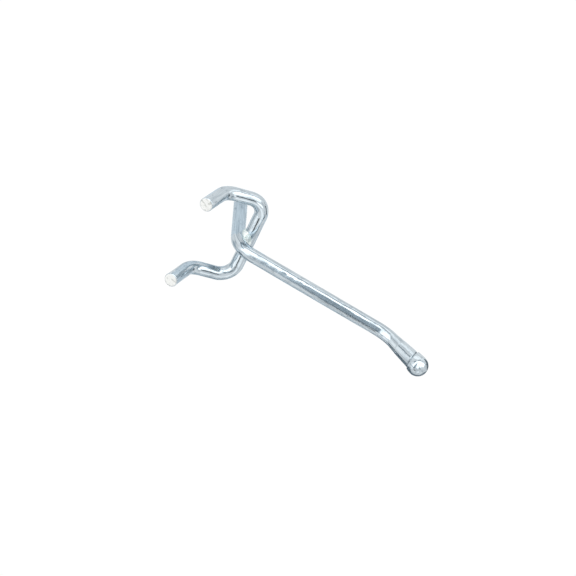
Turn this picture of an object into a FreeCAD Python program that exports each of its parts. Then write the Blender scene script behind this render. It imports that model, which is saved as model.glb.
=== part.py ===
"""Pegboard hook of bent wire, in millimetres and degrees.

Two pieces of drawn wire and the weld that joins them. The arm wire is a leg that lies on the face of the
board, an arm that climbs out from its top, and an upturned tip with a headed nose. The back wire is a U.
Its crossbar sits on the front of the leg, just under the arm, its two shanks go back through neighbouring
holes of the board, and its two prongs turn up behind it.

Frame: X along the row of holes, +Y into the board, +Z up. The origin is on the face of the board, midway
between the two holes.
"""
import FreeCAD
import Part
import math
import os

V = FreeCAD.Vector

# Both wires
wire_diameter = 3.8
cut_edge_break = 0.2        # chamfer of each sheared end
hole_pitch = 25.4           # between the two holes that the shanks go through

# Arm wire, lengths between the corners of its centre line
leg_length = 26.5           # from the top corner down to the sheared end
leg_bend_radius = 6.5
arm_rise = 19.9             # climb of the arm from square to the board
arm_length = 46.1
tip_bend_radius = 12.5
tip_turn = 26.5             # climb of the tip beyond the arm
tip_length = 13.1           # from its corner to the centre of the nose

# Upset stretch of the tip, which swells from the end of its bend to the head
die_mark_length = 5.3       # from the mark of the gripping die to the crease behind the head
die_mark_diameter = 4.2     # of the swollen wire just before that mark
die_step = 0.06             # rise of the radius at the mark
die_step_length = 0.4
neck_diameter = 4.8         # where the wire enters the head

# Cold-formed head
nose_diameter = 5.7
head_length = 2.3           # from the crease to the centre of the nose
head_back_diameter = 5.2    # of the head at its crease
head_offset = 0.12          # of the head from the line of the tip, to the inside of the upturn
crease_skew = 18.0          # the crease leans back towards the line of the arm

# Back wire, lengths between the corners of its centre line
shank_rise = 10.0           # climb of the shanks from square to the board
shank_length = 11.9
shank_bend_radius = 4.6     # between crossbar and shank
prong_lean = 25.9           # of the prongs, back from upright
prong_length = 11.4
prong_bend_radius = 5.9     # between shank and prong

# Weld
seat_drop = 5.4             # from the top corner of the arm wire down to the crossbar
set_down = 0.7              # how far the hot wires are pressed into each other
bead_height = 0.65          # how far the squeezed-out bead stands proud of each wire

wire_radius = wire_diameter / 2
same_place = 0.001          # points nearer than this count as one


def heading(rise):
    """Unit vector in the plane of the arm that climbs by an angle from +Y."""
    angle = math.radians(rise)
    return V(0, math.cos(angle), math.sin(angle))


leg_down = heading(-90)
arm_out = heading(180 - arm_rise)
tip_out = heading(180 - arm_rise - tip_turn)
tip_inside = heading(90 - arm_rise - tip_turn)
head_out = heading(180 - arm_rise - tip_turn + crease_skew)
shank_in = heading(shank_rise)
prong_up = heading(90 - prong_lean)


def bend_setback(radius, turn):
    """Length of straight run that a bend takes up on each side of its corner."""
    return radius * math.tan(math.radians(turn) / 2)


# Places of the two wires. The back of the leg lies on the board, the crossbar is pressed into its front, and
# the shanks cross the face of the board at the height of the origin.
leg_axis_y = -wire_radius
crossbar_y = leg_axis_y - wire_diameter + set_down
crossbar_z = crossbar_y * math.tan(math.radians(shank_rise))
top_corner = V(0, leg_axis_y, crossbar_z + seat_drop)
leg_end = top_corner + leg_down * leg_length
tip_corner = top_corner + arm_out * arm_length
crease = tip_corner + tip_out * (tip_length - head_length)
die_mark = crease - tip_out * die_mark_length


def bent_path(corners, radii):
    """Centre line of straight runs joined by tangent arcs, one radius for each inner corner."""
    edges = []
    start = corners[0]
    for before, corner, after, radius in zip(corners, corners[1:], corners[2:], radii):
        arriving = (corner - before).normalize()
        leaving = (after - corner).normalize()
        turn = math.degrees(arriving.getAngle(leaving))
        setback = bend_setback(radius, turn)
        first = corner - arriving * setback
        last = corner + leaving * setback
        inward = (leaving - arriving).normalize()
        centre = corner + inward * (radius / math.cos(math.radians(turn) / 2))
        edges.append(Part.LineSegment(start, first).toShape())
        edges.append(Part.Arc(first, centre - inward * radius, last).toShape())
        start = last
    edges.append(Part.LineSegment(start, corners[-1]).toShape())
    return Part.Wire(edges)


def arm_wire_path():
    """Centre line of the arm wire, up to the die mark on its tip."""
    return bent_path([leg_end, top_corner, tip_corner, die_mark], [leg_bend_radius, tip_bend_radius])


def back_wire_path():
    """Centre line of the back wire, from one prong's end to the other's."""
    half = []
    for side in (1, -1):
        crossbar_end = V(side * hole_pitch / 2, crossbar_y, crossbar_z)
        shank_end = crossbar_end + shank_in * shank_length
        prong_end = shank_end + prong_up * prong_length
        half.append([prong_end, shank_end, crossbar_end])
    radii = [prong_bend_radius, shank_bend_radius, shank_bend_radius, prong_bend_radius]
    return bent_path(half[0] + half[1][::-1], radii)


def drawn_wire(path, radius):
    """Round wire swept along a centre line."""
    start = path.Edges[0]
    section = Part.makeCircle(radius, start.Vertexes[0].Point, start.tangentAt(start.FirstParameter))
    return path.makePipeShell([Part.Wire([section])], True, False)


def break_ends(solid, ends):
    """Chamfer the rims of the sheared ends that are centred on the given points."""
    rims = []
    for edge in solid.Edges:
        closed = edge.isClosed() and isinstance(edge.Curve, Part.Circle)
        if closed and any(edge.Curve.Center.isEqual(end, same_place) for end in ends):
            rims.append(edge)
    return solid.makeChamfer(cut_edge_break, rims)


def turned(profile, origin, axis):
    """Solid of revolution of a closed profile of (distance along the axis, radius) edges."""
    solid = Part.Face(Part.Wire(profile)).revolve(V(0, 0, 0), V(1, 0, 0), 360)
    solid.Placement = FreeCAD.Placement(origin, FreeCAD.Rotation(V(1, 0, 0), axis))
    return solid


def outline(points):
    """Straight edges through points of (distance along the axis, radius)."""
    corners = [V(along, radius, 0) for along, radius in points]
    return [Part.LineSegment(a, b).toShape() for a, b in zip(corners, corners[1:])]


def swollen_tip():
    """Upset stretch of the tip, from plain wire through the die mark into the head."""
    swell_length = tip_length - head_length - bend_setback(tip_bend_radius, tip_turn)
    mark_radius = die_mark_diameter / 2
    neck_radius = neck_diameter / 2
    overlap = head_length / 2       # of the stretch, inside the head
    return turned(
        outline([
            (overlap, 0),
            (-swell_length, 0),
            (-swell_length, wire_radius),
            (-die_mark_length, mark_radius),
            (die_step_length - die_mark_length, mark_radius + die_step),
            (0, neck_radius),
            (overlap, neck_radius),
            (overlap, 0),
        ]),
        crease,
        tip_out,
    )


def head():
    """Barrel and round nose in front of the skewed crease."""
    nose_radius = nose_diameter / 2
    back_radius = head_back_diameter / 2
    slant = math.tan(math.radians(crease_skew)) * nose_radius
    diagonal = nose_radius * math.sqrt(0.5)
    barrel = outline([
        (head_length + nose_radius, 0),
        (-slant, 0),
        (-slant, back_radius),
        (0, back_radius),
        (head_length, nose_radius),
    ])
    nose = Part.Arc(
        V(head_length, nose_radius, 0),
        V(head_length + diagonal, diagonal, 0),
        V(head_length + nose_radius, 0, 0),
    ).toShape()
    whole = turned(barrel + [nose], crease + tip_inside * head_offset, tip_out)
    block_size = 2 * (head_length + nose_diameter)
    block = Part.makeBox(block_size, block_size, block_size, V(0, -block_size / 2, -block_size / 2))
    block.Placement = FreeCAD.Placement(crease, FreeCAD.Rotation(V(1, 0, 0), head_out))
    return whole.common(block)


def make_arm_wire():
    """Leg, arm and upturned tip with its head, one piece of wire."""
    wire = break_ends(drawn_wire(arm_wire_path(), wire_radius), [leg_end])
    return wire.fuse([swollen_tip(), head()]).removeSplitter()


def make_back_wire():
    """Crossbar, two shanks and two prongs, one piece of wire."""
    path = back_wire_path()
    ends = [path.Edges[0].firstVertex().Point, path.Edges[-1].lastVertex().Point]
    return break_ends(drawn_wire(path, wire_radius), ends)


def make_weld():
    """Bead squeezed out round the seat: where it is near both wires, and in neither."""
    reach = wire_radius + bead_height
    bead = drawn_wire(arm_wire_path(), reach).common(drawn_wire(back_wire_path(), reach))
    return bead.cut(drawn_wire(arm_wire_path(), wire_radius)).cut(drawn_wire(back_wire_path(), wire_radius))


arm_wire = make_arm_wire()
weld = make_weld()
# The arm wire beds in the crossbar by the set-down
back_wire = make_back_wire().cut(arm_wire)

os.makedirs("parts", exist_ok=True)
nodes = {"arm_wire": arm_wire, "back_wire": back_wire, "weld": weld}
for name, shape in nodes.items():
    shape.exportStep("parts/" + name + ".step")
    box = shape.BoundBox
    print(name, shape.isValid(), len(shape.Solids), round(shape.Volume, 2),
          [round(v, 2) for v in (box.XMin, box.XMax, box.YMin, box.YMax, box.ZMin, box.ZMax)])
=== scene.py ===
"""Looks of a pegboard hook: two zinc-plated drawn wires and the weld bead that joins them.

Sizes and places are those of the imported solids. Each wire is made again here as one skin carried along its
centre line, so that the drawing streaks run lengthwise round every bend. Lengths in the classes are
millimetres, and meshes are written in metres.
"""
import logging
import math
from dataclasses import dataclass, replace
from enum import Enum

import bpy
import numpy as np
from mathutils import Matrix, Vector


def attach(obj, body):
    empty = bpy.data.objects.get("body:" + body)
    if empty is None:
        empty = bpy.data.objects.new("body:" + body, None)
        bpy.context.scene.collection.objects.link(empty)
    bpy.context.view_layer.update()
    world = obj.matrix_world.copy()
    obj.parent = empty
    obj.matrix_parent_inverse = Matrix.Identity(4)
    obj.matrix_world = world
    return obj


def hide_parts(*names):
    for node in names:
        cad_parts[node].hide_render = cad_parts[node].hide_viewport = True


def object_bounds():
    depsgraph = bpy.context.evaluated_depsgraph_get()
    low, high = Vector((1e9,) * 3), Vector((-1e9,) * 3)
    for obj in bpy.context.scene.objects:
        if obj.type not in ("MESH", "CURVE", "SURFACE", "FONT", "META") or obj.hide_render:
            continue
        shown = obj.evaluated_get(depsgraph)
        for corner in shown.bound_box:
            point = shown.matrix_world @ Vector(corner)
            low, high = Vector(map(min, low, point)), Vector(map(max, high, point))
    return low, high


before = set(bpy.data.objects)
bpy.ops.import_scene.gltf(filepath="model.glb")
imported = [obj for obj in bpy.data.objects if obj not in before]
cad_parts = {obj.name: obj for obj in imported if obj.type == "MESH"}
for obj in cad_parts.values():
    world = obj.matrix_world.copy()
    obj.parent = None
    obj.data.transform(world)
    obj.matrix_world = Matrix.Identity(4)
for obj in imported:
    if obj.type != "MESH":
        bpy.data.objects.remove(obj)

CAD_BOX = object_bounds()
MM = 0.001
BODY = "root"
WHITE = "FFFFFF"
PLACE = "straight_place"
# Name of the stored share of painted shade in the crease behind the head
CREASE_SHADE = "painted_crease_shade"
Array = np.ndarray
Point = tuple[float, float, float]
Range = tuple[float, float]
Colour = tuple[float, float, float, float]
Tree = bpy.types.NodeTree
Socket = bpy.types.NodeSocket
log = logging.getLogger("hook")


def linear(hex_colour: str) -> Colour:
    """Turn six sRGB hex digits into linear red, green and blue, with an alpha of 1."""
    srgb = [int(hex_colour[i:i + 2], 16) / 255 for i in (0, 2, 4)]
    red, green, blue = (c / 12.92 if c <= 0.04045 else ((c + 0.055) / 1.055) ** 2.4 for c in srgb)
    return red, green, blue, 1.0


def add_node(tree: Tree, kind: str, sockets: dict | None = None, **settings) -> bpy.types.Node:
    """Add one node with its settings, values and links.

    Args:
        tree: Node tree that takes the node.
        kind: Blender's type name of the node.
        sockets: Value or linked output socket for each input, by name or index.
        **settings: Properties of the node.

    Returns:
        The new node.
    """
    node = tree.nodes.new(kind)
    for name, value in settings.items():
        setattr(node, name, value)
    for name, value in (sockets or {}).items():
        if isinstance(value, Socket):
            tree.links.new(value, node.inputs[name])
        else:
            node.inputs[name].default_value = value
    return node


def blank_material(name: str) -> bpy.types.Material:
    """Make a material with an empty node tree."""
    made = bpy.data.materials.new(name)
    made.use_nodes = True
    made.node_tree.nodes.clear()
    return made


def ranged(tree: Tree, value: Socket, source: Range, target: Range) -> Socket:
    """Socket of a value that is mapped from its source range to a target range and held at both ends."""
    return add_node(tree, "ShaderNodeMapRange", {
        "Value": value, "From Min": source[0], "From Max": source[1],
        "To Min": target[0], "To Max": target[1]}).outputs["Result"]


def mixed(tree: Tree, share: Socket, first: Socket | Colour, second: Socket | Colour) -> Socket:
    """Socket of a mix of two colours, by the share of the second."""
    mix = add_node(tree, "ShaderNodeMix", {"Factor": share, 6: first, 7: second}, data_type="RGBA")
    return mix.outputs[2]


def bumped(tree: Tree, height: Socket, strength: float, depth: float, below: Socket | None = None) -> Socket:
    """Socket of the normal of a fine relief, on the normal of another relief if one is below it."""
    sockets = {"Strength": strength, "Distance": depth * MM, "Height": height}
    if below is not None:
        sockets["Normal"] = below
    return add_node(tree, "ShaderNodeBump", sockets).outputs["Normal"]


def plate(tree: Tree, colour: Socket, roughness: Socket | float, normal: Socket) -> None:
    """Finish a material as metal plate of a colour, roughness and normal."""
    shader = add_node(tree, "ShaderNodeBsdfPrincipled", {
        "Base Color": colour, "Metallic": 1.0, "Roughness": roughness, "Normal": normal})
    add_node(tree, "ShaderNodeOutputMaterial", {"Surface": shader.outputs["BSDF"]})


def linked(name: str, data: bpy.types.ID) -> bpy.types.Object:
    """Make an object from its data and link it to the scene."""
    made = bpy.data.objects.new(name, data)
    bpy.context.scene.collection.objects.link(made)
    return made


def heading(rise: float) -> Array:
    """Unit vector in the plane of the arm that climbs by an angle, in degrees, from +Y."""
    return np.array([0.0, math.cos(math.radians(rise)), math.sin(math.radians(rise))])


def smooth_step(value: Array, start: float, end: float) -> Array:
    """Rise from 0 to 1 between two values, level at both ends: 3 t^2 - 2 t^3."""
    t = np.clip((value - start) / (end - start), 0.0, 1.0)
    return t * t * (3 - 2 * t)


@dataclass(frozen=True)
class CentreLine:
    """Centre line of a bent wire: straight runs joined by tangent arcs.

    Attributes:
        points: Samples along the line.
        across: Unit vectors across the line, which turn with the bends and never twist.
        beside: Unit vectors square to both the line and across.
        tangents: Unit vectors along the line.
        lengths: Distance of each sample along the line.
    """

    points: Array
    across: Array
    beside: Array
    tangents: Array
    lengths: Array

    @classmethod
    def bent(cls, corners: list[Array], radii: list[float], step: float, across: Array) -> "CentreLine":
        """Sample a line through corners that are rounded by arcs.

        A straight run is start + distance * direction. An arc of radius r is
        first + r sin(a) * arriving + r (1 - cos(a)) * inward, for a from 0 to the turn.

        Args:
            corners: Ends and corners of the line.
            radii: Radius of each inner corner.
            step: Distance between samples.
            across: Direction across the first run.

        Returns:
            The sampled line with its frames.
        """
        points, tangents = [], []
        start = corners[0]
        for before, corner, after, radius in zip(corners, corners[1:], corners[2:], radii):
            arriving = (corner - before) / np.linalg.norm(corner - before)
            leaving = (after - corner) / np.linalg.norm(after - corner)
            turn = math.acos(float(arriving @ leaving))
            setback = radius * math.tan(turn / 2)
            first = corner - arriving * setback
            run = np.linalg.norm(first - start)
            along = np.arange(0, run, step)[:, None]
            points.append(start + along * arriving)
            tangents.append(np.repeat(arriving[None], len(along), 0))
            inward = (leaving - arriving * (arriving @ leaving)) / math.sin(turn)
            angle = np.arange(0, turn, step / radius)[:, None]
            points.append(first + radius * (np.sin(angle) * arriving + (1 - np.cos(angle)) * inward))
            tangents.append(np.cos(angle) * arriving + np.sin(angle) * inward)
            start = corner + leaving * setback
        run = np.linalg.norm(corners[-1] - start)
        last = np.linspace(0, run, max(2, round(run / step)))[:, None]
        leaving = (corners[-1] - start) / run
        points.append(start + last * leaving)
        tangents.append(np.repeat(leaving[None], len(last), 0))
        line, direction = np.concatenate(points), np.concatenate(tangents)
        sides = cls.carried(across, direction)
        gaps = np.linalg.norm(np.diff(line, axis=0), axis=1)
        lengths = np.concatenate([[0.0], np.cumsum(gaps)])
        return cls(line, sides, np.cross(direction, sides), direction, lengths)

    @staticmethod
    def carried(across: Array, tangents: Array) -> Array:
        """Carry a side vector along a line without twist: each step removes its part along the tangent."""
        sides = np.empty_like(tangents)
        side = across
        for index, tangent in enumerate(tangents):
            side = side - tangent * (side @ tangent)
            side = side / np.linalg.norm(side)
            sides[index] = side
        return sides

    def moved(self, along: Array, aside: Array) -> "CentreLine":
        """Copy of the line, moved along its across vectors by a move that is given at some distances."""
        move = np.interp(self.lengths, along, aside)
        return replace(self, points=self.points + move[:, None] * self.across)

    def at(self, along: Array) -> list[Array]:
        """Points, across and beside vectors and tangents at some distances, each distances by 1 by 3."""
        read = []
        for values in (self.points, self.across, self.beside, self.tangents):
            axes = [np.interp(along, self.lengths, values[:, axis]) for axis in range(3)]
            read.append(np.stack(axes, -1)[:, None, :])
        return read


@dataclass(frozen=True)
class Unevenness:
    """Slow waviness of a plated wire: a sum of waves round and along it, from a fixed seed.

    Attributes:
        seed: Seed of the waves.
        height: Scale of the waves. The deepest hollows are two to three times this deep.
        shortest: Shortest length of a wave along the wire.
        longest: Longest length of a wave, as a multiple of the shortest.
        lobes: Every wave has fewer crests round the wire than this.
        count: Number of waves.
    """

    seed: int
    height: float = 0.014
    shortest: float = 2.2
    longest: float = 9.0
    lobes: int = 6
    count: int = 40

    def rise(self, along: Array, angle: Array) -> Array:
        """Rise of the surface: the sum of cos(m * angle + 2 pi * along / length + phase) over the waves.

        Only its hollows are kept, because the wire's gauge is its largest size.

        Args:
            along: Distance along the wire, one for each ring.
            angle: Angle round the wire, one for each column.

        Returns:
            Rise of zero or less, rings by columns.
        """
        draw = np.random.default_rng(self.seed)
        total = np.zeros((len(along), len(angle)))
        for _ in range(self.count):
            lobes = draw.integers(0, self.lobes)
            length = self.shortest * draw.uniform(1.0, self.longest)
            phase = draw.uniform(0, 2 * math.pi)
            total += np.cos(lobes * angle[None, :] + 2 * math.pi * along[:, None] / length + phase)
        return np.minimum(self.height * total / math.sqrt(self.count), 0.0)


class SurfacePart(Enum):
    """Which finish a face of a wire takes, as its material index."""

    DRAWN = 0
    CUT = 1


@dataclass(frozen=True)
class Grain:
    """Noise pattern of a finish.

    Attributes:
        spacing: Size of a grain along each axis of its place.
        detail: Octaves of finer noise.
        roughness: Share of its strength that each finer octave keeps.
    """

    spacing: Point
    detail: float
    roughness: float

    def add(self, tree: Tree, place: Socket, unit: float = 1.0) -> Socket:
        """Socket of the noise at a place on the surface, where unit is a millimetre in that place's unit."""
        scale = tuple(1 / (size * unit) for size in self.spacing)
        scaled = add_node(tree, "ShaderNodeMapping", {"Vector": place, "Scale": scale})
        return add_node(tree, "ShaderNodeTexNoise", {
            "Vector": scaled.outputs["Vector"], "Scale": 1.0,
            "Detail": self.detail, "Roughness": self.roughness}).outputs["Fac"]


@dataclass(frozen=True)
class ZincWireFinish:
    """Bright zinc plate on cold-drawn steel wire: a cool silver skin with lengthwise drawing streaks.

    The plate is thin, so the streaks of the drawing die still show as fine lines along the wire, and the
    barrel that it was plated in leaves shallow dents and small dull flecks.

    Attributes:
        name: Name of the material.
        bright: Colour of the clean plate.
        dull: Colour of the flecks and streaks.
        painted_crease_shade: Colour of the painted shade that darkens the crease behind the head.
        roughness: Of the clean plate.
        dull_roughness: Of the flecks.
        streaks: Drawing streaks. Real ones are finer than a pixel of the render, so they are drawn this
            coarse to show.
        streak_range: Noise at which a streak starts and at which it is strongest.
        streak_share: Share of the dull colour in the strongest streak.
        flecks: Dull flecks.
        fleck_range: Noise at which a fleck starts and at which it is fully dull.
        dents: Shallow dents.
        relief: Share of the dents and streaks that shows.
        dent_depth: Depth of a dent.
        streak_depth: Depth of a streak.
    """

    name: str = "zinc_plated_drawn_wire"
    bright: str = "CAD4DA"
    dull: str = "7C8A94"
    painted_crease_shade: str = "4A5258"
    roughness: float = 0.1
    dull_roughness: float = 0.22
    streaks: Grain = Grain((9.0, 0.42, 0.42), detail=3.0, roughness=0.55)
    streak_range: Range = (0.42, 0.7)
    streak_share: float = 0.6
    flecks: Grain = Grain((2.5714, 0.9, 0.9), detail=4.0, roughness=0.65)
    fleck_range: Range = (0.52, 0.72)
    dents: Grain = Grain((4.8, 2.4, 2.4), detail=2.0, roughness=0.5)
    relief: float = 0.5
    dent_depth: float = 0.14
    streak_depth: float = 0.04

    def material(self) -> bpy.types.Material:
        """Make the node material, which reads the straightened place of each point on its wire."""
        made = blank_material(self.name)
        tree = made.node_tree
        place = add_node(tree, "ShaderNodeAttribute", attribute_name=PLACE).outputs["Vector"]
        streaks = self.streaks.add(tree, place)
        dents = self.dents.add(tree, place)
        dull_flecks = ranged(tree, self.flecks.add(tree, place), self.fleck_range, (0.0, 1.0))
        dull_streaks = ranged(tree, streaks, self.streak_range, (0.0, self.streak_share))
        marks = add_node(
            tree, "ShaderNodeMath", {0: dull_flecks, 1: dull_streaks}, operation="MAXIMUM").outputs["Value"]
        colour = mixed(tree, marks, linear(self.bright), linear(self.dull))
        # Painted shade: a dark colour mixed in by the share that the wire stores, darkest in the crease
        # behind the head
        crease_shading = add_node(tree, "ShaderNodeAttribute", attribute_name=CREASE_SHADE).outputs["Fac"]
        crease_shaded = mixed(tree, crease_shading, colour, linear(self.painted_crease_shade))
        rough = ranged(tree, marks, (0.0, 1.0), (self.roughness, self.dull_roughness))
        dented = bumped(tree, dents, self.relief, self.dent_depth)
        streaked = bumped(tree, streaks, self.relief, self.streak_depth, dented)
        plate(tree, crease_shaded, rough, streaked)
        return made


@dataclass(frozen=True)
class CutEndFinish:
    """Zinc plate over a sheared wire end: paler and duller than the drawn skin, with drag marks of the cut.

    Attributes:
        name: Name of the material.
        pale: Colour of the plate.
        grey: Colour in the drag marks.
        roughness: Of the plate.
        drag: Drag marks.
        drag_range: Noise at which a mark starts and at which it is fully grey.
        relief: Share of the marks' depth that shows.
        drag_depth: Depth of a mark.
    """

    name: str = "zinc_plated_cut_end"
    pale: str = "E0E1DF"
    grey: str = "A0A39E"
    roughness: float = 0.42
    drag: Grain = Grain((1.0, 0.8, 1.3333), detail=3.0, roughness=0.6)
    drag_range: Range = (0.5, 0.75)
    relief: float = 0.3
    drag_depth: float = 0.04

    def material(self) -> bpy.types.Material:
        """Make the node material from the straightened place, whose y and z lie in the cut's face."""
        made = blank_material(self.name)
        tree = made.node_tree
        place = add_node(tree, "ShaderNodeAttribute", attribute_name=PLACE).outputs["Vector"]
        drag = self.drag.add(tree, place)
        marks = ranged(tree, drag, self.drag_range, (0.0, 1.0))
        colour = mixed(tree, marks, linear(self.pale), linear(self.grey))
        plate(tree, colour, self.roughness, bumped(tree, drag, self.relief, self.drag_depth))
        return made


@dataclass(frozen=True)
class WeldFinish:
    """Zinc plate over metal squeezed out of a resistance weld: pale, and slightly green in its hollows.

    Attributes:
        name: Name of the material.
        pale: Colour of the plated bead.
        stain: Colour in its hollows.
        roughness: Of the bead.
        ripples: Frozen ripples.
        stain_range: Noise at which the stain is strongest and at which it ends.
        relief: Share of the ripples' depth that shows.
        ripple_depth: Depth of a ripple.
    """

    name: str = "zinc_plated_weld_bead"
    pale: str = "EEF4F3"
    stain: str = "D2DDD9"
    roughness: float = 0.42
    ripples: Grain = Grain((1.1, 1.1, 1.1), detail=3.0, roughness=0.6)
    stain_range: Range = (0.35, 0.6)
    relief: float = 0.1
    ripple_depth: float = 0.06

    def material(self) -> bpy.types.Material:
        """Make the node material, with ripples from a noise of the bead's own place."""
        made = blank_material(self.name)
        tree = made.node_tree
        ripples = self.ripples.add(tree, add_node(tree, "ShaderNodeTexCoord").outputs["Object"], MM)
        hollows = ranged(tree, ripples, self.stain_range, (1.0, 0.0))
        colour = mixed(tree, hollows, linear(self.pale), linear(self.stain))
        plate(tree, colour, self.roughness, bumped(tree, ripples, self.relief, self.ripple_depth))
        return made


def grid_quads(strips: int, rings: int, columns: int) -> Array:
    """Faces (i, j), (i, j+1), (i+1, j+1), (i+1, j) of strips between rings of points that wrap round."""
    i, j = np.meshgrid(np.arange(strips), np.arange(columns), indexing="ij")
    ahead, over = (i + 1) % rings, (j + 1) % columns
    corners = [i * columns + j, i * columns + over, ahead * columns + over, ahead * columns + j]
    return np.stack(corners, -1).reshape(-1, 4)


def grid_mesh(name: str, rings: Array, uv: Array, finish_of_ring: Array,
              poles: tuple[Array, Array]) -> bpy.types.Object:
    """Make a closed skin from rings of points and a pole at each end.

    Args:
        name: Name of the piece.
        rings: Points, rings by columns by 3.
        uv: Distance along and round the wire, rings by columns + 1 by 2.
        finish_of_ring: Material index of each strip of faces between two rings.
        poles: Points that close the first and the last ring.

    Returns:
        The new object, linked to the scene.
    """
    count, columns = rings.shape[:2]
    points = np.concatenate([rings.reshape(-1, 3), poles[0][None], poles[1][None]]) * MM
    quads = grid_quads(count - 1, count, columns)
    turn = np.arange(columns)
    after = (turn + 1) % columns
    first = np.stack([np.full(columns, count * columns), after, turn], -1)
    base = (count - 1) * columns
    last = np.stack([np.full(columns, count * columns + 1), base + turn, base + after], -1)
    loops = np.concatenate([quads.ravel(), first.ravel(), last.ravel()])
    sizes = np.concatenate([np.full(len(quads), 4), np.full(2 * columns, 3)])
    starts = np.concatenate([[0], np.cumsum(sizes)[:-1]])
    finishes = np.repeat(np.append(finish_of_ring, finish_of_ring[[0, -1]]), columns)
    mesh = bpy.data.meshes.new(name)
    mesh.vertices.add(len(points))
    mesh.vertices.foreach_set("co", points.astype(np.float32).ravel())
    mesh.loops.add(len(loops))
    mesh.loops.foreach_set("vertex_index", loops.astype(np.int32))
    mesh.polygons.add(len(sizes))
    mesh.polygons.foreach_set("loop_start", starts.astype(np.int32))
    mesh.polygons.foreach_set("material_index", finishes.astype(np.int32))
    mesh.polygons.foreach_set("use_smooth", np.ones(len(sizes), bool))
    quad_uv = [uv[:-1, :-1], uv[:-1, 1:], uv[1:, 1:], uv[1:, :-1]]
    first_uv = [uv[0, :-1], uv[0, 1:], uv[0, :-1]]
    last_uv = [uv[-1, :-1], uv[-1, :-1], uv[-1, 1:]]
    corner_uv = [np.stack(corners, -2).reshape(-1, 2) for corners in (quad_uv, first_uv, last_uv)]
    layer = mesh.uv_layers.new(name="wire")
    layer.data.foreach_set("uv", np.concatenate(corner_uv).astype(np.float32).ravel())
    mesh.update()
    mesh.validate()
    return linked(name, mesh)


def put_attribute(piece: bpy.types.Object, name: str, values: Array) -> None:
    """Store one vector or one number for each point of a piece's mesh, under the name its material reads."""
    kind, field = ("FLOAT_VECTOR", "vector") if values.ndim == 2 else ("FLOAT", "value")
    layer = piece.data.attributes.new(name, kind, "POINT")
    layer.data.foreach_set(field, values.astype(np.float32).ravel())


def skin(name: str, line: CentreLine, along: Array, radius: Array, angles: Array, shift: Array,
         finish_of_ring: Array) -> bpy.types.Object:
    """Carry rings along a centre line: line(s) + shift * tangent + r (cos(a) across + sin(a) beside).

    Args:
        name: Name of the piece.
        line: Centre line, whose frames are read at each ring's distance.
        along: Distance of each ring along the line.
        radius: Radius of each point, rings by columns.
        angles: Angle of each column.
        shift: Distance of each point ahead of its ring along the tangent, rings by columns.
        finish_of_ring: Material index of each strip of faces.

    Returns:
        The piece, with its straightened place as an attribute.
    """
    centre, across, beside, tangent = line.at(along)
    right, up = radius * np.cos(angles), radius * np.sin(angles)
    rings = centre + shift[..., None] * tangent + right[..., None] * across + up[..., None] * beside
    straight = np.stack([along[:, None] + shift, right, up], -1)
    round_wire = np.append(angles, 2 * math.pi) * radius.max()
    uv = np.stack(np.broadcast_arrays(along[:, None], round_wire[None, :]), -1)
    piece = grid_mesh(name, rings, uv, finish_of_ring, (centre[0, 0], centre[-1, 0]))
    pole_places = np.array([[along[0], 0, 0], [along[-1], 0, 0]])
    put_attribute(piece, PLACE, np.concatenate([straight.reshape(-1, 3), pole_places]))
    return piece


@dataclass
class Wire:
    """A drawn wire: its gauge, its cut ends and how finely its skin is divided.

    Attributes:
        diameter: Gauge of the wire.
        end_break: Rounding of a sheared end's rim.
        calm: Length next to a cut end over which the waviness fades in.
        seed: Seed of the waviness.
        columns: Divisions round the wire.
        step: Distance between rings along the wire.
        end_rings: Rings on the face of a cut end, and as many round its rim.
        hub: Radius of the innermost ring, as a share of the face's.
    """

    diameter: float = 3.8
    end_break: float = 0.25
    calm: float = 2.0
    seed: int = 7
    columns: int = 96
    step: float = 0.22
    end_rings: int = 5
    hub: float = 0.2

    @property
    def radius(self) -> float:
        """Radius of the wire."""
        return self.diameter / 2

    @property
    def angles(self) -> Array:
        """Angle of each column round the wire."""
        return np.arange(self.columns) * 2 * math.pi / self.columns

    def end_profile(self) -> tuple[Array, Array]:
        """Distance from the face and radius of each ring of a sheared end, from its middle to its rim."""
        flat = self.radius - self.end_break
        inner = np.linspace(self.hub, 1.0, self.end_rings) * flat
        quarter = np.linspace(0, math.pi / 2, self.end_rings + 1)[1:]
        rim_along = self.end_break * (1 - np.cos(quarter))
        rim_radius = flat + self.end_break * np.sin(quarter)
        return np.concatenate([np.zeros(self.end_rings), rim_along]), np.concatenate([inner, rim_radius])

    def finish_of_ring(self, count: int, both_ends: bool) -> Array:
        """Material index of each strip between rings: cut on the sheared ends, and drawn elsewhere."""
        cut = np.arange(count - 1) < self.end_rings
        if both_ends:
            cut = cut | cut[::-1]
        return np.where(cut, SurfacePart.CUT.value, SurfacePart.DRAWN.value)


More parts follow.
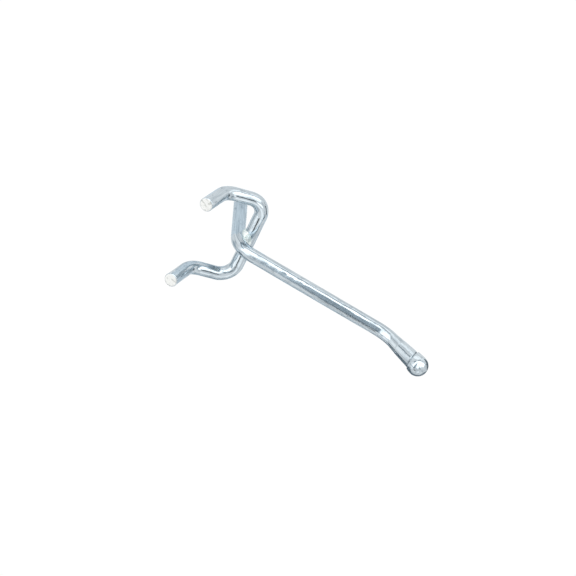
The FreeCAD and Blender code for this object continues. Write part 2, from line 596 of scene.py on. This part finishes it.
@dataclass
class ArmWire(Wire):
    """Leg, arm and upturned tip with its cold-formed head, one length of wire.

    Attributes:
        top_corner: Where the line of the leg meets the line of the arm.
        leg_length: From the top corner down to the sheared end.
        leg_bend_radius: Between leg and arm.
        arm_rise: Climb of the arm from square to the board, in degrees.
        arm_length: From the top corner to the tip's corner.
        tip_bend_radius: Between arm and tip.
        tip_turn: Climb of the tip beyond the arm, in degrees.
        tip_length: From the tip's corner to the centre of the nose.
        die_mark_length: From the mark of the gripping die to the crease behind the head.
        die_mark_diameter: Of the swollen wire just before that mark.
        die_step: Rise of the radius at the mark.
        die_step_length: Length of that rise.
        neck_diameter: Where the wire enters the head.
        nose_diameter: Of the round nose.
        head_length: From the crease to the centre of the nose.
        head_back_diameter: Of the head at its crease.
        head_offset: Of the head from the line of the tip, to the inside of the upturn.
        crease_skew: Lean of the crease towards the line of the arm, in degrees.
        crease_depth: Depth of the nip between neck and head.
        crease_width: Width of that nip.
        crease_shade_share: Share of painted shade at the bottom of the nip.
        crease_shade_width: Distance from there at which the painted shade has thinned to 1 / e.
        tip_fineness: How many times closer the rings are on the tip.
        barrel_corners: Corners of the profile along the head's barrel.
        nose_rings: Rings from the nose's centre to its end.
    """

    top_corner: Point = (0.0, -1.9, 4.518)
    leg_length: float = 26.5
    leg_bend_radius: float = 6.5
    arm_rise: float = 19.9
    arm_length: float = 46.1
    tip_bend_radius: float = 12.5
    tip_turn: float = 26.5
    tip_length: float = 13.1
    die_mark_length: float = 5.3
    die_mark_diameter: float = 4.2
    die_step: float = 0.06
    die_step_length: float = 0.4
    neck_diameter: float = 4.8
    nose_diameter: float = 5.7
    head_length: float = 2.3
    head_back_diameter: float = 5.2
    head_offset: float = 0.12
    crease_skew: float = 18.0
    crease_depth: float = 0.25
    crease_width: float = 0.44
    crease_shade_share: float = 0.5
    crease_shade_width: float = 0.1257
    tip_fineness: int = 3
    barrel_corners: int = 11
    nose_rings: int = 27

    @property
    def nose_radius(self) -> float:
        """Radius of the round nose."""
        return self.nose_diameter / 2

    def line(self) -> CentreLine:
        """Centre line from the leg's sheared end to the nose's end, across pointing inside the upturn."""
        corner = np.array(self.top_corner)
        leg_end = corner + heading(-90) * self.leg_length
        tip_corner = corner + heading(180 - self.arm_rise) * self.arm_length
        tip_out = heading(180 - self.arm_rise - self.tip_turn)
        nose_end = tip_corner + tip_out * (self.tip_length + self.nose_radius)
        return CentreLine.bent([leg_end, corner, tip_corner, nose_end],
                               [self.leg_bend_radius, self.tip_bend_radius], self.step, heading(0))

    def places(self, line: CentreLine) -> dict[str, float]:
        """Distances of the tip's features along the line: bend's end, die mark, crease, nose and its end."""
        end = float(line.lengths[-1])
        nose = end - self.nose_radius
        crease = nose - self.head_length
        setback = self.tip_bend_radius * math.tan(math.radians(self.tip_turn) / 2)
        return {
            "swell": nose - self.tip_length + setback,
            "mark": crease - self.die_mark_length,
            "crease": crease,
            "nose": nose,
            "end": end,
        }

    def tip_profile(self, at: dict[str, float]) -> tuple[Array, Array]:
        """Profile of the swollen tip and its head up to the nose's centre. The barrel is a quarter ellipse.

        Args:
            at: Distances of the tip's features.

        Returns:
            Distances and radii of the profile's corners.
        """
        nip = self.crease_width / 2
        neck, back = self.neck_diameter / 2, self.head_back_diameter / 2
        corners = [
            (at["swell"], self.radius),
            (at["mark"], self.die_mark_diameter / 2),
            (at["mark"] + self.die_step_length, self.die_mark_diameter / 2 + self.die_step),
            (at["crease"] - nip, neck),
            (at["crease"], neck - self.crease_depth),
            (at["crease"] + nip, back),
        ]
        quarter = np.linspace(0, math.pi / 2, self.barrel_corners + 1)[1:]
        barrel = at["crease"] + nip + (self.head_length - nip) * (1 - np.cos(quarter))
        bulge = back + (self.nose_radius - back) * np.sin(quarter)
        along, radius = np.array(corners).T
        return np.concatenate([along, barrel]), np.concatenate([radius, bulge])

    def build(self) -> bpy.types.Object:
        """Make the skin: plain wire, swollen tip, skewed crease with its painted shade, and round nose.

        The crease leans because each ring near it is tilted: a point moves ahead by tan(skew) times its
        distance towards the inside, faded out along the neck and the nose.

        Returns:
            The piece.
        """
        line = self.line()
        at = self.places(line)
        end_along, end_radius = self.end_profile()
        plain = np.arange(self.end_break + self.step, at["swell"], self.step)
        plain_radius = np.full(len(plain), self.radius)
        tip = np.arange(at["swell"], at["nose"], self.step / self.tip_fineness)
        tip_radius = np.interp(tip, *self.tip_profile(at))
        pole = np.linspace(0, math.pi / 2, self.nose_rings + 1)[:-1]
        along = np.concatenate([end_along, plain, tip, at["nose"] + self.nose_radius * np.sin(pole)])
        profile = np.concatenate([end_radius, plain_radius, tip_radius, self.nose_radius * np.cos(pole)])
        before = smooth_step(along, at["mark"], at["crease"])
        beyond = smooth_step(along, at["crease"], at["nose"] + self.nose_radius / 2)
        tilt = math.tan(math.radians(self.crease_skew)) * before * (1 - beyond)
        shift = tilt[:, None] * profile[:, None] * np.cos(self.angles)
        wavy = smooth_step(along, 0.0, self.calm) * (1 - smooth_step(along, at["nose"], at["end"]))
        radius = profile[:, None] + Unevenness(self.seed).rise(along, self.angles) * wavy[:, None]
        aside = self.head_offset * smooth_step(along, at["crease"] - self.crease_width, at["crease"])
        piece = skin("arm_wire_skin", line.moved(along, aside), along, radius, self.angles, shift,
                     self.finish_of_ring(len(along), both_ends=False))
        # Painted shade in the crease: a share of dark colour that falls off as exp(-(d / width)^2) with the
        # distance d from the crease's bottom
        painted_crease_shade = self.crease_shade_share * np.exp(-((along - at["crease"]) / self.crease_shade_width) ** 2)
        put_attribute(piece, CREASE_SHADE, np.append(np.repeat(painted_crease_shade, self.columns), [0.0, 0.0]))
        return piece


@dataclass
class BackWire(Wire):
    """Crossbar, two shanks and two prongs, one length of wire bent to a U.

    Attributes:
        seed: Seed of the waviness.
        hole_pitch: Between the two holes that the shanks go through.
        crossbar: Place of the crossbar in the plane of the arm, as y and z.
        shank_rise: Climb of the shanks from square to the board, in degrees.
        shank_length: From the crossbar's line to the prong's line.
        shank_bend_radius: Between crossbar and shank.
        prong_lean: Of the prongs, back from upright, in degrees.
        prong_length: From the shank's line to the sheared end.
        prong_bend_radius: Between shank and prong.
    """

    seed: int = 11
    hole_pitch: float = 25.4
    crossbar: tuple[float, float] = (-5.0, -0.8816)
    shank_rise: float = 10.0
    shank_length: float = 11.9
    shank_bend_radius: float = 4.6
    prong_lean: float = 25.9
    prong_length: float = 11.4
    prong_bend_radius: float = 5.9

    def line(self) -> CentreLine:
        """Centre line from one prong's end to the other's, with across vectors that start along +X."""
        half = []
        for side in (1, -1):
            bar_end = np.array([side * self.hole_pitch / 2, *self.crossbar])
            shank_end = bar_end + heading(self.shank_rise) * self.shank_length
            prong_end = shank_end + heading(90 - self.prong_lean) * self.prong_length
            half.append([prong_end, shank_end, bar_end])
        radii = [self.prong_bend_radius, self.shank_bend_radius]
        across = np.array([1.0, 0.0, 0.0])
        return CentreLine.bent(half[0] + half[1][::-1], radii + radii[::-1], self.step, across)

    def build(self) -> bpy.types.Object:
        """Make the skin, with a sheared face at the end of each prong."""
        line = self.line()
        length = float(line.lengths[-1])
        end_along, end_radius = self.end_profile()
        plain = np.arange(self.end_break + self.step, length - self.end_break, self.step)
        along = np.concatenate([end_along, plain, length - end_along[::-1]])
        profile = np.concatenate([end_radius, np.full(len(plain), self.radius), end_radius[::-1]])
        wavy = smooth_step(along, 0.0, self.calm) * (1 - smooth_step(along, length - self.calm, length))
        radius = profile[:, None] + Unevenness(self.seed).rise(along, self.angles) * wavy[:, None]
        return skin("back_wire_skin", line, along, radius, self.angles, np.zeros_like(radius),
                    self.finish_of_ring(len(along), both_ends=True))


@dataclass
class WeldBead:
    """Bead of metal squeezed out round the seat where the crossbar crosses the leg.

    Attributes:
        arm: Wire of the leg.
        back: Wire of the crossbar.
        height: How far the bead stands proud of each wire.
        height_change: Share by which that changes round the seat.
        corner_lift: Share by which it is higher on the leg at the four corners of the seat.
        bar_reach: Share by which it reaches further over the crossbar above and below the seat.
        spread: How far it is smeared along the crossbar on each side of the leg.
        spread_change: Share by which that changes round the seat.
        spread_power: How evenly the smear is shared out: the lower, the more evenly.
        wrap: How far the smear runs on round the crossbar, in degrees.
        film: Thickness of the smear on the crossbar.
        hollow: Distance of the face's inner control point from both wires.
        hollow_drift: Share of the smear that this control point follows.
        sunk: How far the bead's edges dip into the wires.
        buried: How far inside the wires its hidden back lies.
        ripples: Frozen ripples across the bead.
        ripple_height: Height of a ripple.
        ripple_rise: Direction of that height.
        lobes: Waves round the seat that the changes are made of.
        seed: Seed of those waves.
        columns: Divisions round the seat.
        rows: Divisions across the bead.
        halvings: Steps of the search for the seat.
        least_sine: Smallest sine that the search divides by.
    """

    arm: ArmWire
    back: BackWire
    height: float = 0.65
    height_change: float = 0.15
    corner_lift: float = 0.2
    bar_reach: float = 0.9
    spread: float = 1.4
    spread_change: float = 0.2
    spread_power: float = 0.7
    wrap: float = 45.0
    film: float = 0.2
    hollow: float = 0.3
    hollow_drift: float = 0.35
    sunk: float = 0.06
    buried: float = 0.24
    ripples: int = 3
    ripple_height: float = 0.012
    ripple_rise: Point = (0.5, 0.0, 0.85)
    lobes: tuple[int, ...] = (2, 3, 4, 5, 6)
    seed: int = 3
    columns: int = 240
    rows: int = 30
    halvings: int = 40
    least_sine: float = 0.1

    def seat(self, turn: Array, over_arm: Array, over_bar: Array) -> Array:
        """Points at given distances from the surfaces of both wires, found by halving an interval.

        In the direction turn from the seat's centre, a point at distance q is x = q cos(turn) and
        z = z0 + q sin(turn). It lies sqrt(a^2 - x^2) in front of the leg's axis and
        sqrt(b^2 - (z - z0)^2) behind the crossbar's, and q is where the two add up to the distance between
        the axes, or at most the crossbar's own top or underside.

        Args:
            turn: Angle round the seat.
            over_arm: Distance outside the arm wire.
            over_bar: Distance outside the back wire.

        Returns:
            Points, in the shape of the arguments by 3.
        """
        bar_y, bar_z = self.back.crossbar
        _, leg_y, corner_z = self.arm.top_corner
        bend = self.arm.leg_bend_radius
        bend_start = corner_z - bend * math.tan(math.radians(90 - self.arm.arm_rise) / 2)
        a, b = self.arm.radius + over_arm, self.back.radius + over_bar
        low = np.zeros(np.broadcast(turn, a, b).shape)
        high = np.minimum(2 * self.arm.diameter, b / np.maximum(np.abs(np.sin(turn)), self.least_sine))
        for _ in range(self.halvings):
            q = (low + high) / 2
            z = bar_z + q * np.sin(turn)
            into_bend = np.clip(z - bend_start, 0, bend)
            lean = bend - np.sqrt(bend ** 2 - into_bend ** 2)
            front = np.sqrt(np.clip(a ** 2 - (q * np.cos(turn)) ** 2, 0, None))
            behind = np.sqrt(np.clip(b ** 2 - (q * np.sin(turn)) ** 2, 0, None))
            near = front + behind > leg_y - lean - bar_y
            low, high = np.where(near, q, low), np.where(near, high, q)
        return np.stack([q * np.cos(turn), bar_y + behind, z], -1)

    def wrapped(self, edge: Array, turn: Array) -> Array:
        """Points of the bead's edge, turned about the crossbar's axis by the wrap times sin(turn)."""
        axis_y, axis_z = self.back.crossbar
        angle = math.radians(self.wrap) * np.sin(turn)
        x, behind, above = edge[:, 0], edge[:, 1] - axis_y, edge[:, 2] - axis_z
        y = axis_y + behind * np.cos(angle) - above * np.sin(angle)
        z = axis_z + behind * np.sin(angle) + above * np.cos(angle)
        return np.stack([x, y, z], -1)

    def face(self, turn: Array) -> Array:
        """Visible face of the bead, from its edge on the leg to its edge on the crossbar.

        It is the curve (1 - t)^2 A + 2 t (1 - t) C + t^2 B for t from 0 to 1, where A is the edge on the
        leg, C is near the seat's own corner and B is the edge on the crossbar, smeared along it and round
        it. Where the curve would cut into the crossbar it is pushed out to a film that thins towards B.

        Args:
            turn: Angle of each column round the seat.

        Returns:
            Points, columns by rows by 3.
        """
        phases = np.random.default_rng(self.seed).uniform(0, 2 * math.pi, len(self.lobes))
        slow = np.cos(turn[:, None] * np.array(self.lobes) + phases).mean(1)
        height = self.height * (1 + self.height_change * slow)
        lift = height * (1 + self.corner_lift * np.sin(2 * turn) ** 2)
        reach = height * (1 + self.bar_reach * np.sin(turn) ** 2)
        sideways = np.sign(np.cos(turn)) * np.abs(np.sin(2 * turn)) ** self.spread_power
        smear = np.zeros((len(turn), 3))
        smear[:, 0] = sideways * self.spread * (1 + self.spread_change * slow)
        sunk = np.full_like(turn, -self.sunk)
        hollow = np.full_like(turn, self.hollow)
        leg_edge = self.seat(turn, sunk, lift)[:, None]
        corner = (self.seat(turn, hollow, hollow) + smear * self.hollow_drift)[:, None]
        bar_edge = self.wrapped(self.seat(turn, reach, sunk) + smear, turn)[:, None]
        t = np.linspace(0, 1, self.rows)[None, :, None]
        face = (1 - t) ** 2 * leg_edge + 2 * t * (1 - t) * corner + t ** 2 * bar_edge
        axis = np.array(self.back.crossbar)
        from_axis = face[..., 1:] - axis
        film_radius = self.back.radius + self.film * (1 - t) - self.sunk * t
        push = np.maximum(1, film_radius / np.linalg.norm(from_axis, axis=-1, keepdims=True))
        face[..., 1:] = axis + from_axis * push
        wave = self.ripple_height * np.sin(math.pi * t) * np.cos(2 * math.pi * self.ripples * t)
        return face + wave * np.array(self.ripple_rise)

    def build(self) -> bpy.types.Object:
        """Make the closed bead: its visible face, and a hidden back inside the wires."""
        turn = np.arange(self.columns) * 2 * math.pi / self.columns
        buried = np.full_like(turn, -self.buried)
        points = np.concatenate([self.face(turn), self.seat(turn, buried, buried)[:, None]], 1)
        quads = grid_quads(self.columns, self.columns, self.rows + 1)
        mesh = bpy.data.meshes.new("weld_bead")
        mesh.from_pydata((points * MM).reshape(-1, 3).tolist(), [], quads.tolist())
        mesh.polygons.foreach_set("use_smooth", np.ones(len(quads), bool))
        mesh.update()
        return linked("weld_bead", mesh)


def face_outwards(piece: bpy.types.Object) -> None:
    """Turn a closed piece's faces over if its signed volume, the sum of a . (b x c) / 6, is negative."""
    mesh = piece.data
    mesh.calc_loop_triangles()
    corners = np.empty(len(mesh.loop_triangles) * 3, np.int32)
    mesh.loop_triangles.foreach_get("vertices", corners)
    points = np.empty(len(mesh.vertices) * 3, np.float32)
    mesh.vertices.foreach_get("co", points)
    a, b, c = points.reshape(-1, 3)[corners.reshape(-1, 3)].astype(float).transpose(1, 0, 2)
    if np.einsum("ij,ij->", a, np.cross(b, c)) < 0:
        mesh.flip_normals()


@dataclass(frozen=True)
class SoftBox:
    """Soft box that faces the frame's origin, or lies flat and shines up if it is below it.

    Attributes:
        name: Name of the lamp.
        centre: Middle of its face.
        size: Width and height.
        strength: Radiance that its face adds to the tent behind it, where 1 is white.
    """

    name: str
    centre: Point
    size: tuple[float, float]
    strength: float

    def hang(self) -> None:
        """Build the lamp, which the camera does not see."""
        data = bpy.data.lights.new(self.name, "AREA")
        data.shape = "RECTANGLE"
        data.size, data.size_y = (side * MM for side in self.size)
        data.energy = self.strength * math.pi * data.size * data.size_y
        away = Vector(self.centre).normalized() if self.centre[2] > 0 else Vector((0, 0, -1))
        lamp = linked(self.name, data)
        lamp.matrix_world = away.to_track_quat("Z", "Y").to_matrix().to_4x4()
        lamp.matrix_world.translation = Vector(self.centre) * MM
        lamp.visible_camera = False


@dataclass(frozen=True)
class Card:
    """Thin grey card near the hook, which only the hook's reflections show.

    Attributes:
        name: Name of the card.
        low: Lowest corner.
        high: Highest corner, equal to the lowest in the direction that the card faces.
        grey: Colour of the card.
    """

    name: str
    low: Point
    high: Point
    grey: str

    def stand(self) -> None:
        """Build the card, which the camera, matte surfaces and shadows do not see."""
        ends = np.array([self.low, self.high]) * MM
        flat = int(np.argmin(ends[1] - ends[0]))
        u, v = (axis for axis in range(3) if axis != flat)
        corners = np.repeat(ends[:1], 4, 0)
        corners[[1, 2], u] = ends[1, u]
        corners[[2, 3], v] = ends[1, v]
        mesh = bpy.data.meshes.new(self.name)
        mesh.from_pydata(corners.tolist(), [], [(0, 1, 2, 3)])
        paint = blank_material(self.name)
        matte = add_node(paint.node_tree, "ShaderNodeBsdfDiffuse", {"Color": linear(self.grey)})
        add_node(paint.node_tree, "ShaderNodeOutputMaterial", {"Surface": matte.outputs["BSDF"]})
        mesh.materials.append(paint)
        card = linked(self.name, mesh)
        card.visible_camera = card.visible_diffuse = card.visible_shadow = False


# Just above the floor, which is at -21.98
GROUND = -21.9

SOFT_BOXES = (
    SoftBox("key_box", (310, -30, 190), (900, 300), 1.25),
    SoftBox("wall_box", (90, 260, 235), (260, 250), 1.0),
    SoftBox("low_wall_box", (65, 270, 95), (390, 90), 0.25),
    SoftBox("back_box", (-150, 195, 165), (150, 150), 0.5),
    SoftBox("front_box", (-152, -123, 228), (120, 90), 0.4),
    SoftBox("nose_box", (11, -52, 48), (18, 20), 0.9),
    SoftBox("floor_box", (125, -10, -20), (120, 220), 0.42),
)

CARDS = (
    Card("arm_flag", (-14, 10, 150), (100, 43, 150), "9AA4AB"),
    Card("arm_line_flag", (-44, 10, 150), (-14, 43, 150), "6A747B"),
    Card("far_flag", (240, -80, -21), (240, 60, 12), "8A949B"),
    Card("root_flag", (-42, 43, 150), (100, 65, 150), "B8C1C7"),
    Card("stripe_flag", (100, 10, 150), (232, 60, 150), "98A2A9"),
    Card("shank_flag", (8, -110, 150), (60, -65, 150), "5A646B"),
    Card("bar_flag", (-275, 22, 400), (-190, 148, 400), "101214"),
    Card("tip_flag", (-12, -78, 15), (-12, -42, 33), "6A747B"),
    Card("edge_flag", (150, 235, 45), (330, 235, 85), "7A848B"),
    Card("horizon_flag", (-150, -120, -21), (-150, 60, 55), "C4C9CD"),
    Card("side_flag", (-45, -40, -21), (-45, 20, 10), "A8B2B8"),
    Card("corner_flag", (-100, 15, -6), (-100, 78, 30), "5A646B"),
    Card("front_flag", (-30, -150, -21), (45, -150, 6), "4A535A"),
    # Painted shadow of the arm on the floor: a grey card that only the hook's reflections show
    Card("painted_arm_shadow", (-48, -70, GROUND), (-2, -17, GROUND), "C2CBD2"),
    Card("far_ground_flag", (-40, -150, GROUND), (60, -90, GROUND), "6A747B"),
    Card("bend_flag", (-110, 30, GROUND), (-15, 200, GROUND), "B0B9BF"),
    # Painted contact shadow under the leg's foot: a grey card that only the hook's reflections show
    Card("painted_foot_shadow", (-14, -16, GROUND), (16, 16, GROUND), "D2DAE0"),
)


@dataclass
class Studio:
    """Camera, white sweep and tent, with the soft boxes and the cards.

    Attributes:
        target: Point that the camera looks at.
        azimuth: Of the camera round the hook, in degrees.
        elevation: Of the camera above the floor, in degrees.
        roll: Turn of the camera about its own axis, in degrees.
        distance: From the camera to the target.
        focal_length: Of the lens.
        sensor_width: Width of the picture behind the lens.
        clip: Nearest and farthest distance that the camera sees.
        floor_reach: From the middle of the floor to its sides.
        floor_colour: Of the sweep, for matte light.
        floor_glow: Share of the floor's look that stays white under the shadow.
        fill: Strength of the light that the tent gives to matte things.
    """

    target: Point = (-4.99, -18.78, 7.20)
    azimuth: float = 110.444
    elevation: float = 57.332
    roll: float = -177.241
    distance: float = 670.1
    focal_length: float = 156.25
    sensor_width: float = 36.0
    clip: Range = (10.0, 20000.0)
    floor_reach: float = 6000.0
    floor_colour: str = "F6F7F8"
    floor_glow: float = 0.9
    fill: float = 1.0

    def axes(self) -> tuple[Vector, Vector, Vector]:
        """Unit vectors to the picture's right, to its top and back to the camera."""
        turn, climb, roll = (math.radians(a) for a in (self.azimuth, self.elevation, self.roll))
        out = math.cos(climb)
        back = Vector((math.sin(turn) * out, -math.cos(turn) * out, math.sin(climb)))
        level = Vector((0, 0, 1)).cross(back).normalized()
        upright = back.cross(level)
        right = math.cos(roll) * level + math.sin(roll) * upright
        return right, back.cross(right), back

    def camera(self) -> None:
        """Place the camera at the photograph's viewing angle."""
        right, top, back = self.axes()
        data = bpy.data.cameras.new("camera")
        data.lens = self.focal_length
        data.sensor_width = self.sensor_width
        data.clip_start, data.clip_end = (limit * MM for limit in self.clip)
        eye = linked("camera", data)
        eye.matrix_world = Matrix((right, top, back)).transposed().to_4x4()
        eye.matrix_world.translation = (Vector(self.target) + back * self.distance) * MM
        bpy.context.scene.camera = eye

    @staticmethod
    def seen(tree: Tree) -> Socket:
        """Socket that is 1 for rays from the camera and for those that metal or glass sends on."""
        rays = add_node(tree, "ShaderNodeLightPath").outputs
        looked = add_node(tree, "ShaderNodeMath", {
            0: rays["Is Camera Ray"], 1: rays["Is Glossy Ray"]}, operation="MAXIMUM").outputs["Value"]
        return add_node(tree, "ShaderNodeMath", {
            0: looked, 1: rays["Is Transmission Ray"]}, operation="MAXIMUM").outputs["Value"]

    def floor(self) -> None:
        """Lay a sweep under the hook: white to the camera and to reflections, and it keeps the shadow."""
        size = self.floor_reach * MM
        low = CAD_BOX[0].z
        mesh = bpy.data.meshes.new("floor")
        mesh.from_pydata([(-size, -size, low), (size, -size, low), (size, size, low), (-size, size, low)],
                         [], [(0, 1, 2, 3)])
        paint = blank_material("white_sweep")
        tree = paint.node_tree
        share = add_node(
            tree, "ShaderNodeMath", {0: self.seen(tree), 1: self.floor_glow}, operation="MULTIPLY")
        matte = add_node(tree, "ShaderNodeBsdfDiffuse", {"Color": linear(self.floor_colour)})
        glow = add_node(tree, "ShaderNodeEmission", {"Color": linear(WHITE), "Strength": 1.0})
        both = add_node(tree, "ShaderNodeMixShader", {
            0: share.outputs["Value"], 1: matte.outputs["BSDF"], 2: glow.outputs["Emission"]})
        add_node(tree, "ShaderNodeOutputMaterial", {"Surface": both.outputs["Shader"]})
        mesh.materials.append(paint)
        sheet = linked("floor", mesh)

    def world(self) -> None:
        """Fill the room above the floor: white where it is seen or mirrored, and the fill elsewhere."""
        sky = bpy.data.worlds.new("tent")
        bpy.context.scene.world = sky
        sky.use_nodes = True
        tree = sky.node_tree
        tree.nodes.clear()
        fill = add_node(tree, "ShaderNodeBackground", {"Color": linear(WHITE), "Strength": self.fill})
        white = add_node(tree, "ShaderNodeBackground", {"Color": linear(WHITE), "Strength": 1.0})
        pick = add_node(tree, "ShaderNodeMixShader", {
            0: self.seen(tree), 1: fill.outputs["Background"], 2: white.outputs["Background"]})
        add_node(tree, "ShaderNodeOutputWorld", {"Surface": pick.outputs["Shader"]})

    def build(self) -> None:
        """Set up camera, sweep, tent, soft boxes and cards."""
        self.camera()
        self.floor()
        self.world()
        for box in SOFT_BOXES:
            box.hang()
        for card in CARDS:
            card.stand()
        bpy.context.scene.view_settings.view_transform = "Standard"


def main() -> None:
    """Build the hook's pieces in order, dress them and light the scene."""
    logging.basicConfig(level=logging.INFO, format="%(name)s: %(message)s")
    wire_finishes = (ZincWireFinish().material(), CutEndFinish().material())
    weld_finishes = (WeldFinish().material(),)
    arm, back = ArmWire(), BackWire()
    weld = WeldBead(arm, back)
    dressed = (
        (arm.build(), "arm_wire", "zinc_plated_wire", wire_finishes),
        (back.build(), "back_wire", "zinc_plated_wire", wire_finishes),
        (weld.build(), "weld", "weld_metal", weld_finishes),
    )
    for piece, node, slot, finishes in dressed:
        face_outwards(piece)
        for finish in finishes:
            piece.data.materials.append(finish)
        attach(piece, BODY)
        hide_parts(node)
        log.info("%s stands for %s: %d faces", piece.name, node, len(piece.data.polygons))
    Studio().build()


if __name__ == "__main__":
    main()
